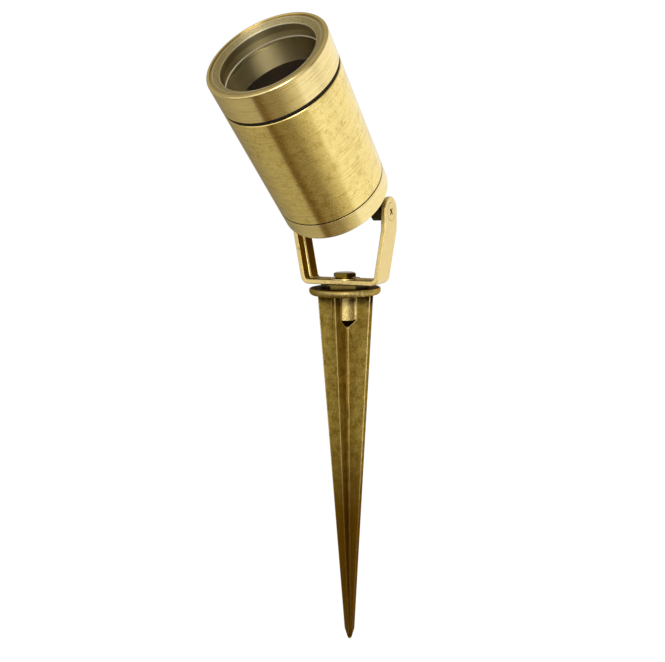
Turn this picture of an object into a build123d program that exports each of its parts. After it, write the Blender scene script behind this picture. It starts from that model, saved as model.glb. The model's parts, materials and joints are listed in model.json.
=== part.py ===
from build123d import *
from math import cos, radians, sin
import os

os.makedirs("parts", exist_ok=True)

# A solid brass garden spike spotlight. Millimetres, +Z up. The origin is on the swivel axis
# at ground level, which is the underside of the flange once the spike is pushed in.
# The yoke turns about Z, and the head tilts about X on its two pivot screws.

# ---------------------------------------------------------------- fits and clearances
thread_fit = 0.05          # radial, male thread in its female thread
swivel_fit = 0.08          # radial, yoke and screws that turn on each other
swivel_gap = 0.05          # axial, between faces that slide on each other
seal_fit = 0.05            # round every rubber seal

# ---------------------------------------------------------------- spike casting
flange_radius = 20.4
flange_thickness = 4.0
flange_top_round = 0.8
flange_bottom_round = 2.4
blade_length = 215.8       # ground level to the tip
blade_half_x = 16.9        # half width across the two wings in the parting plane
blade_half_y = 14.6        # half width across the two drafted wings
wing_x_thickness = 4.2
wing_y_root = 4.4
wing_y_edge = 1.6
point_length = 7.0         # the blade draws in faster over this last stretch
point_half = 2.9           # half width of the blade where the point begins
point_thickness = 2.4
tip_half = 1.3             # half width just above the rounded tip
tip_radius = 1.2
valley_radius = 1.2
blade_edge_round = 0.5     # long outer edges of the wings
bolt_boss_radius = 7.4
bolt_boss_length = 14.2
bolt_boss_cone = 5.5
bolt_boss_cone_radius = 2.6
bolt_boss_fillet = 1.3     # where the boss runs into the wings

# ---------------------------------------------------------------- swivel stack
spacer_thickness = 2.05
spacer_across_flats = 24.0
spacer_turn = 21.5         # degrees, how the hex came to rest when it was tightened
bolt_radius = 3.15
bolt_engagement = 13.0     # thread in the spike
bolt_head_across_flats = 11.6
bolt_head_height = 2.4
bolt_head_turn = 7.0
lock_washer_thickness = 0.8
lock_washer_radius = 5.2
lock_washer_slit = 0.7

# ---------------------------------------------------------------- yoke
plate = 2.7                # cast plate thickness
yoke_depth = 16.1
yoke_base_half = 23.8      # half width outside, at the underside of the base
ear_half = 28.7            # half width outside, at the ears
ear_bend_drop = 9.4        # bend of the leg, below the pivot
pivot_rise = 40.1          # pivot above the underside of the yoke
yoke_corner = 3.5          # bend radius at mid plate
yoke_edge_round = 0.45
bead_radius = 0.9
bead_proud = 0.5
bead_offset = 1.5          # from mid depth, towards -Y
yoke_boss_radius = 9.0
yoke_boss_height = 0.5
nub_radius = 0.9           # casting nubs on the edges
nub_proud = 0.45
nub_leg_height = 19.8      # above the underside of the yoke

# ---------------------------------------------------------------- pivot screws
pivot_screw_radius = 2.5
pivot_screw_length = 10.0
pivot_head_radius = 4.85
countersink_gap = 0.25     # shadow line round the screw head
pivot_head_angle = 90
pivot_washer_radius = 5.0
recess_span = 4.6
recess_width = 1.1
recess_depth = 1.6

# ---------------------------------------------------------------- head, placed along its axis
head_tilt = 43.6           # degrees above level, as photographed
axis_drop = 1.2            # head axis below the pivot, measured square to it
cap_rear = 12.7            # rear face of the cap, from the pivot
cap_length = 11.0
seam_gap = 0.6             # shadow line between cap and body
body_length = 64.6
ring_gap = 1.7             # space of the front o-ring, between body and bezel
bezel_length = 14.35
rear_edge_round = 1.4
bezel_edge_round = 1.1
edge_break = 0.3
seam_break = 0.12          # edges along the shadow line

# lugs of the rear cap
lug_radius = 4.8
lug_thickness = 6.5
washer_thickness = 0.8

# rear cap inside
cap_floor = 4.0
cap_step = 2.6             # outside of the head to the spigot of the cap
cap_spigot_length = 8.0
cap_spigot_wall = 3.9
rear_ring_offset = 1.6     # groove of the rear o-ring, from the cap shoulder
rear_ring_width = 1.9
rear_ring_depth = 1.5

# body tube, from the lamp outwards
lamp_radius = 24.75
lamp_fit = 0.25            # round the lamp
front_spigot_wall = 2.2
front_spigot_length = 7.0

# bezel, glass and its gasket
bezel_wall = 2.8           # over the spigot of the body
glass_shelf = 0.9          # width of the step that the glass rests on
glass_thickness = 3.0
glass_fit = 0.2
gasket_thickness = 0.5
gasket_width = 1.8
gasket_show = 0.2          # how far the gasket shows inside the bezel's lip
lip_length = 2.7           # from the gasket to the fine line in the bezel's bore
lip_taper = 0.25
line_width = 0.4
line_depth = 0.35
opening_taper = 0.9        # the bore narrows by this much from the line to the opening
opening_set_back = 1.8     # opening edge, behind the front rim
opening_edge_round = 0.25
face_rim_width = 1.75      # flat front rim, then a step down into the groove of the face
face_groove_width = 1.55   # its floor slopes up to a ridge, from where the face dips inwards
face_groove_depth = 0.6
face_ridge_set_back = 0.12 # ridge, behind the front rim
thread_relief = 0.3

# lamp
lamp_rim_height = 4.5
lamp_height = 38.1         # lamp face to the foot of its base
lamp_wall = 1.4
lamp_base_length = 9.5
lamp_base_x = 15.0
lamp_base_y = 9.5
lamp_lens_thickness = 2.0
led_radius = 6.5
led_thickness = 1.6
pin_radius = 0.75
pin_length = 7.0
pin_pitch = 5.33

# lamp holder and its plate
holder_plate_thickness = 1.5
holder_x = 16.0
holder_y = 26.0
holder_height = 11.0
holder_screw_pitch = 19.0
holder_screw_radius = 1.5
holder_screw_head = 2.75
holder_screw_head_height = 1.8
lead_hole_radius = 4.5
lead_radius = 0.9
lead_bend = 2.2

# terminal block
block_x = 16.0
block_y = 9.0
block_height = 9.0
block_offset = 14.0        # centre of the block from the head axis
pole_pitch = 8.0
terminal_screw_radius = 1.3
terminal_screw_depth = 2.4
terminal_screw_pitch = 5.0
fixing_screw_radius = 1.25
fixing_screw_depth = 2.5

# cable gland
gland_thread_radius = 6.0
gland_flats = 16.0
gland_collar = 3.5
gland_inside = 7.5         # thread past the cap's outer face
gland_barrel = 6.0         # thread outside the collar
gland_bore = 3.6
gland_seal_radius = 5.0
gland_seal_bore = 3.2
gland_seal_length = 5.4
gland_nut_flats = 15.0
gland_nut_length = 8.5
gland_nut_wall = 2.5
locknut_flats = 15.0
locknut_thickness = 3.0

# ---------------------------------------------------------------- heights worked out from these
yoke_base_z = flange_thickness + spacer_thickness + swivel_gap
yoke_floor_z = yoke_base_z + plate
pivot_z = yoke_base_z + pivot_rise
ear_top_z = pivot_z + yoke_depth / 2
bend_z = pivot_z - ear_bend_drop
washer_z = yoke_floor_z + yoke_boss_height + swivel_gap
bolt_head_z = washer_z + lock_washer_thickness

# radii of the head, from the lamp outwards
bore_radius = lamp_radius + lamp_fit
front_spigot_radius = bore_radius + front_spigot_wall
head_radius = front_spigot_radius + bezel_wall
cap_spigot_radius = head_radius - cap_step
cap_cavity_radius = cap_spigot_radius - cap_spigot_wall
glass_radius = bore_radius + glass_shelf
glass_pocket_radius = glass_radius + glass_fit
gasket_inner = glass_radius - gasket_width
lip_radius = gasket_inner + gasket_show
line_radius = lip_radius + lip_taper
opening_radius = line_radius - opening_taper
groove_outer = head_radius - face_rim_width
ridge_radius = groove_outer - face_groove_width

# places along the head axis, from the pivot
cap_front = cap_rear + cap_length
body_rear = cap_front + seam_gap
body_front = body_rear + body_length
bezel_rear = body_front + ring_gap
bezel_front = bezel_rear + bezel_length
spigot_front = body_front + front_spigot_length
glass_rear = spigot_front - glass_thickness
lip_rear = spigot_front + gasket_thickness
line_rear = lip_rear + lip_length
line_front = line_rear + line_width
cap_spigot_front = cap_front + cap_spigot_length
plate_front = cap_spigot_front + holder_plate_thickness
holder_front = plate_front + holder_height
cap_floor_front = cap_rear + cap_floor
lamp_foot = holder_front
lamp_face = lamp_foot + lamp_height
block_front = cap_floor_front + block_height

# ---------------------------------------------------------------- working planes of the head
pivot = (0, 0, pivot_z)
head_direction = (0, -cos(radians(head_tilt)), sin(radians(head_tilt)))
head_origin = (0, -axis_drop * sin(radians(head_tilt)),
               pivot_z - axis_drop * cos(radians(head_tilt)))
head_axis = Axis(head_origin, head_direction)
head = Plane(origin=head_origin, x_dir=(1, 0, 0), z_dir=head_direction)
head_section = Plane(origin=head_origin, x_dir=(1, 0, 0),
                     z_dir=(0, -sin(radians(head_tilt)), -cos(radians(head_tilt))))


def turned(points):
    """Turn a closed section, given as (radius, place along the head axis), about the head axis."""
    with BuildSketch(head_section) as section:
        with BuildLine():
            Polyline(*points, close=True)
        make_face()
    revolve(section.sketch, axis=head_axis)


def rims(builder, radius):
    """Circular edges of that radius about the head axis, rearmost first."""
    rings = builder.edges().filter_by(GeomType.CIRCLE)
    return rings.filter_by(lambda ring: abs(ring.radius - radius) < 0.001).sort_by(head_axis)


def bar(plane, length, radius):
    """A round bar that starts on a plane and runs along its normal."""
    with BuildSketch(plane) as section:
        Circle(radius)
    return extrude(section.sketch, amount=length)


# ================================================================ spike
def blade_section(height, half_x, half_y, thickness, root, edge, valley, edge_round):
    """One cross section of the blade: two wings along X, two drafted wings along Y."""
    with BuildSketch(Plane.XY.offset(height)) as section:
        Rectangle(2 * half_x, thickness)
        with BuildLine():
            Polyline((-root / 2, 0), (-edge / 2, half_y), (edge / 2, half_y), (root / 2, 0),
                     (edge / 2, -half_y), (-edge / 2, -half_y), close=True)
        make_face()
        corners = section.vertices().sort_by_distance((0, 0, height))
        fillet(corners[4:], edge_round)
        valleys = section.vertices().sort_by_distance((0, 0, height))
        fillet(valleys[:4], valley)
    return section.sketch


with BuildPart() as spike:
    with BuildSketch():
        Circle(flange_radius)
    extrude(amount=flange_thickness)
    flange_edges = spike.edges().filter_by(GeomType.CIRCLE).sort_by(Axis.Z)
    fillet(flange_edges[-1], flange_top_round)
    fillet(flange_edges[0], flange_bottom_round)
    top_section = blade_section(0, blade_half_x, blade_half_y, wing_x_thickness,
                                wing_y_root, wing_y_edge, valley_radius, blade_edge_round)
    point_section = blade_section(point_length - blade_length, point_half, point_half,
                                  point_thickness, point_thickness, point_thickness / 2,
                                  valley_radius / 3, blade_edge_round / 2)
    tip_section = blade_section(tip_radius - blade_length, tip_half, tip_half,
                                point_thickness / 2, point_thickness / 2,
                                point_thickness / 4, valley_radius / 6, blade_edge_round / 4)
    loft([top_section, point_section], ruled=True)
    loft([point_section, tip_section], ruled=True)
    with Locations((0, 0, tip_radius - blade_length)):
        Sphere(tip_radius)
    with BuildSketch(Plane.XZ):
        with BuildLine():
            Polyline((0, 0), (bolt_boss_radius, 0), (bolt_boss_radius, -bolt_boss_length),
                     (bolt_boss_cone_radius, -bolt_boss_length - bolt_boss_cone),
                     (0, -bolt_boss_length - bolt_boss_cone), close=True)
        make_face()
    revolve(axis=Axis.Z)
    boss_corners = spike.edges().filter_by(
        lambda edge: abs(Vector(edge.center().X, edge.center().Y).length - bolt_boss_radius) < 0.2
        and abs(edge.center().Z + bolt_boss_length / 2) < 1 and edge.length > bolt_boss_length / 2)
    fillet(boss_corners, bolt_boss_fillet)
    with Locations((0, 0, flange_thickness)):
        Hole(bolt_radius + thread_fit, depth=bolt_engagement + thread_relief)
spike.part.label = "spike"
export_step(spike.part, "parts/spike.step")

# ================================================================ swivel stack
with BuildPart() as swivel_spacer:
    with BuildSketch(Plane.XY.offset(flange_thickness)):
        RegularPolygon(spacer_across_flats / 2, 6, major_radius=False, rotation=spacer_turn)
        Circle(bolt_radius + swivel_fit, mode=Mode.SUBTRACT)
    extrude(amount=spacer_thickness)
swivel_spacer.part.label = "swivel_spacer"
export_step(swivel_spacer.part, "parts/swivel_spacer.step")

with BuildPart() as swivel_lock_washer:
    with BuildSketch(Plane.XY.offset(washer_z)):
        Circle(lock_washer_radius)
        Circle(bolt_radius + swivel_fit, mode=Mode.SUBTRACT)
        with Locations((0, lock_washer_radius)):
            Rectangle(lock_washer_slit, 2 * (lock_washer_radius - bolt_radius) + 1,
                      mode=Mode.SUBTRACT)
    extrude(amount=lock_washer_thickness)
swivel_lock_washer.part.label = "swivel_lock_washer"
export_step(swivel_lock_washer.part, "parts/swivel_lock_washer.step")

with BuildPart() as swivel_bolt:
    with BuildSketch(Plane.XY.offset(bolt_head_z)):
        RegularPolygon(bolt_head_across_flats / 2, 6, major_radius=False, rotation=bolt_head_turn)
    extrude(amount=bolt_head_height)
    corner_radius = bolt_head_across_flats / 2 / cos(radians(30))
    with BuildSketch(Plane.XZ):
        with BuildLine():
            Polyline((0, bolt_head_z), (corner_radius, bolt_head_z),
                     (corner_radius, bolt_head_z + bolt_head_height * 0.75),
                     (bolt_head_across_flats * 0.46, bolt_head_z + bolt_head_height),
                     (0, bolt_head_z + bolt_head_height), close=True)
        make_face()
    revolve(axis=Axis.Z, mode=Mode.INTERSECT)
    bolt_end_z = flange_thickness - bolt_engagement
    bar(Plane.XY.offset(bolt_end_z), bolt_head_z - bolt_end_z, bolt_radius)
swivel_bolt.part.label = "swivel_bolt"
export_step(swivel_bolt.part, "parts/swivel_bolt.step")


# ================================================================ yoke
def yoke_line(inset):
    """The U of the yoke in the XZ plane, that far inside its outer surface."""
    ear_x = ear_half - inset
    base_x = yoke_base_half - inset
    base_z = yoke_base_z + inset
    return [(-ear_x, ear_top_z), (-ear_x, bend_z), (-base_x, base_z),
            (base_x, base_z), (ear_x, bend_z), (ear_x, ear_top_z)]


with BuildPart() as yoke:
    with BuildSketch(Plane.XZ):
        with BuildLine():
            FilletPolyline(*yoke_line(plate / 2), radius=yoke_corner)
        trace(line_width=plate)
    extrude(amount=yoke_depth / 2, both=True)
    with BuildSketch(Plane.YZ):
        with Locations((0, pivot_z)):
            Circle(yoke_depth / 2)
        with Locations((0, (pivot_z + yoke_base_z) / 2)):
            Rectangle(yoke_depth, pivot_z - yoke_base_z)
    extrude(amount=ear_half + 1, both=True, mode=Mode.INTERSECT)
    fillet(yoke.edges().filter_by(Axis.Y, reverse=True), yoke_edge_round)
    with BuildLine(Plane.XZ.offset(bead_offset)) as bead_line:
        FilletPolyline(*yoke_line(plate - bead_radius + bead_proud)[1:-1], radius=yoke_corner)
    with BuildSketch(Plane(origin=bead_line.line @ 0, z_dir=bead_line.line % 0)) as bead_section:
        Circle(bead_radius)
    sweep(bead_section.sketch, path=bead_line.line)
    bar(Plane.XY.offset(yoke_floor_z), yoke_boss_height, yoke_boss_radius)
    leg_slope = (ear_half - yoke_base_half) / (bend_z - yoke_base_z)
    leg_nub_x = yoke_base_half - plate / 2 + leg_slope * nub_leg_height
    ear_nub_x = ear_half - plate / 2
    for nub_x, nub_z in ((0, yoke_base_z + plate / 2),
                         (leg_nub_x, yoke_base_z + nub_leg_height),
                         (-leg_nub_x, yoke_base_z + nub_leg_height),
                         (ear_nub_x, pivot_z), (-ear_nub_x, pivot_z)):
        nub_root = Plane(origin=(nub_x, plate - yoke_depth / 2, nub_z), z_dir=(0, -1, 0))
        bar(nub_root, plate + nub_proud, nub_radius)
    with Locations((0, 0, yoke_floor_z + yoke_boss_height)):
        Hole(bolt_radius + swivel_fit, depth=plate + yoke_boss_height + 1)
    for side in (-1, 1):
        with Locations(Plane(origin=(side * ear_half, 0, pivot_z), z_dir=(side, 0, 0))):
            CounterSinkHole(pivot_screw_radius + swivel_fit, pivot_head_radius + countersink_gap,
                            depth=2 * plate, counter_sink_angle=pivot_head_angle)
yoke.part.label = "yoke"
export_step(yoke.part, "parts/yoke.step")

# ================================================================ pivot screws and washers
lug_outer = ear_half - plate - 2 * swivel_gap - washer_thickness

with BuildPart() as pivot_screws:
    for side in (-1, 1):
        ear_face = Plane(origin=(side * ear_half, 0, pivot_z), z_dir=(-side, 0, 0))
        screw_axis = Axis(pivot, (1, 0, 0))
        head_depth = pivot_head_radius - pivot_screw_radius
        with BuildSketch(Plane.XZ):
            with BuildLine():
                Polyline((side * ear_half, pivot_z),
                         (side * ear_half, pivot_z + pivot_head_radius),
                         (side * (ear_half - head_depth), pivot_z + pivot_screw_radius),
                         (side * (ear_half - pivot_screw_length), pivot_z + pivot_screw_radius),
                         (side * (ear_half - pivot_screw_length), pivot_z), close=True)
            make_face()
        revolve(axis=screw_axis)
        with BuildSketch(ear_face):
            Rectangle(recess_span, recess_width, rotation=35)
            Rectangle(recess_width, recess_span, rotation=35)
        extrude(amount=recess_depth, mode=Mode.SUBTRACT)
pivot_screws.part.label = "pivot_screws"
export_step(pivot_screws.part, "parts/pivot_screws.step")

with BuildPart() as pivot_washers:
    for side in (-1, 1):
        with BuildSketch(Plane(origin=(side * lug_outer, 0, pivot_z), z_dir=(side, 0, 0))):
            Circle(pivot_washer_radius)
            Circle(pivot_screw_radius + swivel_fit, mode=Mode.SUBTRACT)
        extrude(amount=washer_thickness + swivel_gap)
pivot_washers.part.label = "pivot_washers"
export_step(pivot_washers.part, "parts/pivot_washers.step")

# ================================================================ rear cap
groove_rear = cap_front + rear_ring_offset
groove_front = groove_rear + rear_ring_width
groove_radius = cap_spigot_radius - rear_ring_depth

with BuildPart() as rear_cap:
    turned([(0, cap_rear), (head_radius, cap_rear), (head_radius, cap_front),
            (cap_spigot_radius, cap_front), (cap_spigot_radius, groove_rear),
            (groove_radius, groove_rear), (groove_radius, groove_front),
            (cap_spigot_radius, groove_front), (cap_spigot_radius, cap_spigot_front),
            (cap_cavity_radius, cap_spigot_front), (cap_cavity_radius, cap_floor_front),
            (0, cap_floor_front)])
    fillet(rims(rear_cap, head_radius)[0], rear_edge_round)
    chamfer(rims(rear_cap, head_radius)[-1], seam_break)
    for side in (-1, 1):
        lug_plane = Plane(origin=(side * (lug_outer - lug_thickness), 0, pivot_z),
                          x_dir=head_direction, z_dir=(side, 0, 0))
        with BuildSketch(lug_plane):
            Circle(lug_radius)
            with Locations(((cap_rear + 1) / 2, 0)):
                Rectangle(cap_rear + 1, 2 * lug_radius)
        extrude(amount=lug_thickness)
        with Locations(Plane(origin=(side * lug_outer, 0, pivot_z), z_dir=(side, 0, 0))):
            Hole(pivot_screw_radius + thread_fit, depth=lug_thickness + 1)
    with Locations(head.offset(cap_floor_front)):
        Hole(gland_thread_radius + thread_fit, depth=cap_floor + 1)
    with Locations(head.offset(cap_floor_front)):
        with Locations((0, block_offset)):
            Hole(fixing_screw_radius + thread_fit, depth=fixing_screw_depth)
rear_cap.part.label = "rear_cap"
export_step(rear_cap.part, "parts/rear_cap.step")

with BuildPart() as rear_o_ring:
    turned([(groove_radius + seal_fit, groove_rear + seal_fit),
            (cap_spigot_radius, groove_rear + seal_fit),
            (cap_spigot_radius, groove_front - seal_fit),
            (groove_radius + seal_fit, groove_front - seal_fit)])
    fillet(rims(rear_o_ring, cap_spigot_radius), rear_ring_depth * 0.4)
rear_o_ring.part.label = "rear_o_ring"
export_step(rear_o_ring.part, "parts/rear_o_ring.step")

# ================================================================ body tube
with BuildPart() as head_body:
    turned([(cap_spigot_radius + thread_fit, body_rear), (head_radius, body_rear),
            (head_radius, body_front), (front_spigot_radius, body_front),
            (front_spigot_radius, spigot_front), (glass_pocket_radius, spigot_front),
            (glass_pocket_radius, glass_rear), (bore_radius, glass_rear),
            (bore_radius, plate_front), (cap_spigot_radius + thread_fit, plate_front)])
    chamfer(rims(head_body, head_radius)[0], seam_break)
    chamfer(rims(head_body, head_radius)[-1], edge_break)
head_body.part.label = "head_body"
export_step(head_body.part, "parts/head_body.step")

with BuildPart() as front_o_ring:
    turned([(front_spigot_radius + seal_fit, body_front),
            (head_radius - 0.5, body_front),
            (head_radius - 0.5, bezel_rear),
            (front_spigot_radius + seal_fit, bezel_rear)])
    fillet(rims(front_o_ring, head_radius - 0.5), ring_gap * 0.35)
front_o_ring.part.label = "front_o_ring"
export_step(front_o_ring.part, "parts/front_o_ring.step")

# ================================================================ bezel, glass and gasket
with BuildPart() as bezel:
    turned([(front_spigot_radius + thread_fit, bezel_rear), (head_radius, bezel_rear),
            (head_radius, bezel_front), (groove_outer, bezel_front),
            (groove_outer, bezel_front - face_groove_depth),
            (ridge_radius, bezel_front - face_ridge_set_back),
            (opening_radius, bezel_front - opening_set_back),
            (line_radius, line_front), (line_radius + line_depth, line_front),
            (line_radius + line_depth, line_rear), (line_radius, line_rear),
            (lip_radius, lip_rear), (front_spigot_radius + thread_fit, lip_rear)])
    fillet(rims(bezel, head_radius)[-1], bezel_edge_round)
    chamfer(rims(bezel, head_radius)[0], edge_break)
    chamfer(rims(bezel, groove_outer)[-1], seam_break)
    fillet(rims(bezel, opening_radius), opening_edge_round)
bezel.part.label = "bezel"
export_step(bezel.part, "parts/bezel.step")

with BuildPart() as lens_gasket:
    with BuildSketch(head.offset(spigot_front)):
        Circle(glass_radius)
        Circle(gasket_inner, mode=Mode.SUBTRACT)
    extrude(amount=gasket_thickness)
lens_gasket.part.label = "lens_gasket"
export_step(lens_gasket.part, "parts/lens_gasket.step")

with BuildPart() as lens_glass:
    bar(head.offset(glass_rear), glass_thickness, glass_radius)
    chamfer(rims(lens_glass, glass_radius), edge_break)
lens_glass.part.label = "lens_glass"
export_step(lens_glass.part, "parts/lens_glass.step")

# ================================================================ lamp
rim_rear = lamp_face - lamp_rim_height
base_front = lamp_foot + lamp_base_length
neck_radius = lamp_base_x / 2 + lamp_wall
bowl_bottom = base_front + lamp_wall
lens_rear = lamp_face - lamp_lens_thickness
bowl_radius = lamp_radius - lamp_wall

with BuildPart() as lamp_reflector:
    with BuildSketch(head_section):
        with BuildLine():
            Line((0, base_front), (neck_radius, base_front))
            ThreePointArc(
                (neck_radius, base_front),
                (lamp_radius * 0.78, base_front + (rim_rear - base_front) * 0.46),
                (lamp_radius, rim_rear))
            Polyline((lamp_radius, rim_rear), (lamp_radius, lens_rear), (bowl_radius, lens_rear))
            ThreePointArc(
                (bowl_radius, lens_rear),
                (lamp_radius * 0.78 - lamp_wall * 1.6, bowl_bottom + (rim_rear - base_front) * 0.46),
                (led_radius + lamp_wall, bowl_bottom))
            Polyline((led_radius + lamp_wall, bowl_bottom), (0, bowl_bottom), (0, base_front))
        make_face()
    revolve(axis=head_axis)
lamp_reflector.part.label = "lamp_reflector"
export_step(lamp_reflector.part, "parts/lamp_reflector.step")

with BuildPart() as lamp_lens:
    bar(head.offset(lens_rear), lamp_lens_thickness, lamp_radius)
    chamfer(rims(lamp_lens, lamp_radius)[-1], edge_break)
lamp_lens.part.label = "lamp_lens"
export_step(lamp_lens.part, "parts/lamp_lens.step")

with BuildPart() as lamp_led:
    bar(head.offset(bowl_bottom), led_thickness, led_radius)
lamp_led.part.label = "lamp_led"
export_step(lamp_led.part, "parts/lamp_led.step")

with BuildPart() as lamp_base:
    with BuildSketch(head.offset(lamp_foot)):
        RectangleRounded(lamp_base_x, lamp_base_y, 2)
    extrude(amount=lamp_base_length)
lamp_base.part.label = "lamp_base"
export_step(lamp_base.part, "parts/lamp_base.step")

with BuildPart() as lamp_pins:
    with BuildSketch(head.offset(lamp_foot - pin_length)):
        with GridLocations(pin_pitch, 0, 2, 1):
            Circle(pin_radius)
    extrude(amount=pin_length)
lamp_pins.part.label = "lamp_pins"
export_step(lamp_pins.part, "parts/lamp_pins.step")

# ================================================================ lamp holder
with BuildPart() as holder_plate:
    with BuildSketch(head.offset(cap_spigot_front)):
        Circle(cap_spigot_radius - thread_fit)
        Circle(lead_hole_radius, mode=Mode.SUBTRACT)
        with GridLocations(0, holder_screw_pitch, 1, 2):
            Circle(holder_screw_radius + thread_fit, mode=Mode.SUBTRACT)
    extrude(amount=holder_plate_thickness)
holder_plate.part.label = "holder_plate"
export_step(holder_plate.part, "parts/holder_plate.step")

screw_shelf = holder_front - 2 * holder_screw_head_height

with BuildPart() as lamp_holder:
    with BuildSketch(head.offset(plate_front)):
        RectangleRounded(holder_x, holder_y, 3)
    extrude(amount=holder_height)
    with Locations(head.offset(holder_front)):
        with GridLocations(pin_pitch, 0, 2, 1):
            Hole(pin_radius + 0.3, depth=pin_length + 1)
        with GridLocations(0, holder_screw_pitch, 1, 2):
            CounterBoreHole(holder_screw_radius + 0.1, holder_screw_head + 0.2,
                            2 * holder_screw_head_height, depth=holder_height + 1)
lamp_holder.part.label = "lamp_holder"
export_step(lamp_holder.part, "parts/lamp_holder.step")

with BuildPart() as holder_screws:
    with BuildSketch(head.offset(screw_shelf)):
        with GridLocations(0, holder_screw_pitch, 1, 2):
            Circle(holder_screw_head)
    extrude(amount=holder_screw_head_height)
    with BuildSketch(head.offset(cap_spigot_front)):
        with GridLocations(0, holder_screw_pitch, 1, 2):
            Circle(holder_screw_radius)
    extrude(amount=screw_shelf - cap_spigot_front)
    with BuildSketch(head.offset(screw_shelf + holder_screw_head_height)):
        with GridLocations(0, holder_screw_pitch, 1, 2):
            Rectangle(2 * holder_screw_head, 0.8)
    extrude(amount=-holder_screw_head_height / 2, mode=Mode.SUBTRACT)
holder_screws.part.label = "holder_screws"
export_step(holder_screws.part, "parts/holder_screws.step")

# ================================================================ terminal block and leads
block_side = block_offset - block_y / 2
lead_entry = cap_floor_front + block_height * 0.48

with BuildPart() as terminal_block:
    with BuildSketch(head.offset(cap_floor_front)):
        with Locations((0, block_offset)):
            RectangleRounded(block_x, block_y, 1)
    extrude(amount=block_height)
    with Locations(head.offset(block_front)):
        with Locations((0, block_offset)):
            Hole(fixing_screw_radius + 0.1, depth=block_height + 1)
            with GridLocations(pole_pitch, terminal_screw_pitch, 2, 2):
                Hole(terminal_screw_radius + 0.1, depth=terminal_screw_depth)
    for side in (-1, 1):
        entry = head.from_local_coords((side * pole_pitch / 2, block_side, lead_entry))
        with Locations(Plane(origin=entry, z_dir=-head.y_dir)):
            Hole(lead_radius + 0.15, depth=block_y / 3)
terminal_block.part.label = "terminal_block"
export_step(terminal_block.part, "parts/terminal_block.step")

with BuildPart() as terminal_screws:
    with BuildSketch(head.offset(block_front - terminal_screw_depth)):
        with Locations((0, block_offset)):
            with GridLocations(pole_pitch, terminal_screw_pitch, 2, 2):
                Circle(terminal_screw_radius)
    extrude(amount=terminal_screw_depth)
    with BuildSketch(head.offset(block_front)):
        with Locations((0, block_offset)):
            with GridLocations(pole_pitch, terminal_screw_pitch, 2, 2):
                Rectangle(2 * terminal_screw_radius, 0.5)
    extrude(amount=-terminal_screw_depth / 3, mode=Mode.SUBTRACT)
terminal_screws.part.label = "terminal_screws"
export_step(terminal_screws.part, "parts/terminal_screws.step")

with BuildPart() as terminal_fixing_screw:
    with BuildSketch(head.offset(cap_floor_front - fixing_screw_depth)):
        with Locations((0, block_offset)):
            Circle(fixing_screw_radius)
    extrude(amount=fixing_screw_depth + block_height)
    with BuildSketch(head.offset(block_front)):
        with Locations((0, block_offset)):
            Rectangle(2 * fixing_screw_radius, 0.5)
    extrude(amount=-0.8, mode=Mode.SUBTRACT)
terminal_fixing_screw.part.label = "terminal_fixing_screw"
export_step(terminal_fixing_screw.part, "parts/terminal_fixing_screw.step")

with BuildPart() as holder_leads:
    for side in (-1, 1):
        lead_points = [(side * 2.2, 0, plate_front), (side * 2.2, 0, plate_front - 6),
                       (side * 3.4, 3.0, lead_entry + 2), (side * pole_pitch / 2, 6.5, lead_entry),
                       (side * pole_pitch / 2, block_side + block_y / 3, lead_entry)]
        with BuildLine() as lead_line:
            FilletPolyline(*[head.from_local_coords(point) for point in lead_points],
                           radius=lead_bend)
        with BuildSketch(Plane(origin=lead_line.line @ 0, z_dir=lead_line.line % 0)):
            Circle(lead_radius)
        sweep(path=lead_line.line)
holder_leads.part.label = "holder_leads"
export_step(holder_leads.part, "parts/holder_leads.step")

# ================================================================ cable gland in the rear cap
collar_rear = cap_rear - gland_collar
barrel_rear = collar_rear - gland_barrel
gland_front = cap_rear + gland_inside
nut_front = collar_rear - 0.3
nut_rear = nut_front - gland_nut_length
seal_rear = nut_rear + gland_nut_wall + seal_fit
seal_front = seal_rear + gland_seal_length
pocket_front = seal_front + seal_fit

with BuildPart() as gland_body:
    turned([(gland_bore, gland_front), (gland_bore, pocket_front),
            (gland_seal_radius + seal_fit, pocket_front),
            (gland_seal_radius + seal_fit, barrel_rear), (gland_thread_radius, barrel_rear),
            (gland_thread_radius, gland_front)])
    with BuildSketch(head.offset(collar_rear)):
        RegularPolygon(gland_flats / 2, 6, major_radius=False)
        Circle(gland_thread_radius - 0.2, mode=Mode.SUBTRACT)
    extrude(amount=gland_collar)
gland_body.part.label = "gland_body"
export_step(gland_body.part, "parts/gland_body.step")

with BuildPart() as gland_locknut:
    with BuildSketch(head.offset(cap_floor_front)):
        RegularPolygon(locknut_flats / 2, 6, major_radius=False)
        Circle(gland_thread_radius + thread_fit, mode=Mode.SUBTRACT)
    extrude(amount=locknut_thickness)
gland_locknut.part.label = "gland_locknut"
export_step(gland_locknut.part, "parts/gland_locknut.step")

with BuildPart() as gland_seal:
    turned([(gland_seal_bore, seal_rear), (gland_seal_radius, seal_rear),
            (gland_seal_radius, seal_front), (gland_seal_bore, seal_front)])
gland_seal.part.label = "gland_seal"
export_step(gland_seal.part, "parts/gland_seal.step")

with BuildPart() as gland_nut:
    with BuildSketch(head.offset(nut_rear)):
        RegularPolygon(gland_nut_flats / 2, 6, major_radius=False)
    extrude(amount=gland_nut_length)
    nut_corner = gland_nut_flats / 2 / cos(radians(30))
    with BuildSketch(head_section):
        with BuildLine():
            Polyline((0, nut_rear), (gland_nut_flats * 0.36, nut_rear),
                     (nut_corner, nut_rear + gland_nut_wall), (nut_corner, nut_front),
                     (0, nut_front), close=True)
        make_face()
    revolve(axis=head_axis, mode=Mode.INTERSECT)
    with Locations(head.offset(nut_front)):
        Hole(gland_bore, depth=gland_nut_length + 1)
        Hole(gland_thread_radius + thread_fit, depth=gland_nut_length - gland_nut_wall)
gland_nut.part.label = "gland_nut"
export_step(gland_nut.part, "parts/gland_nut.step")
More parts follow.
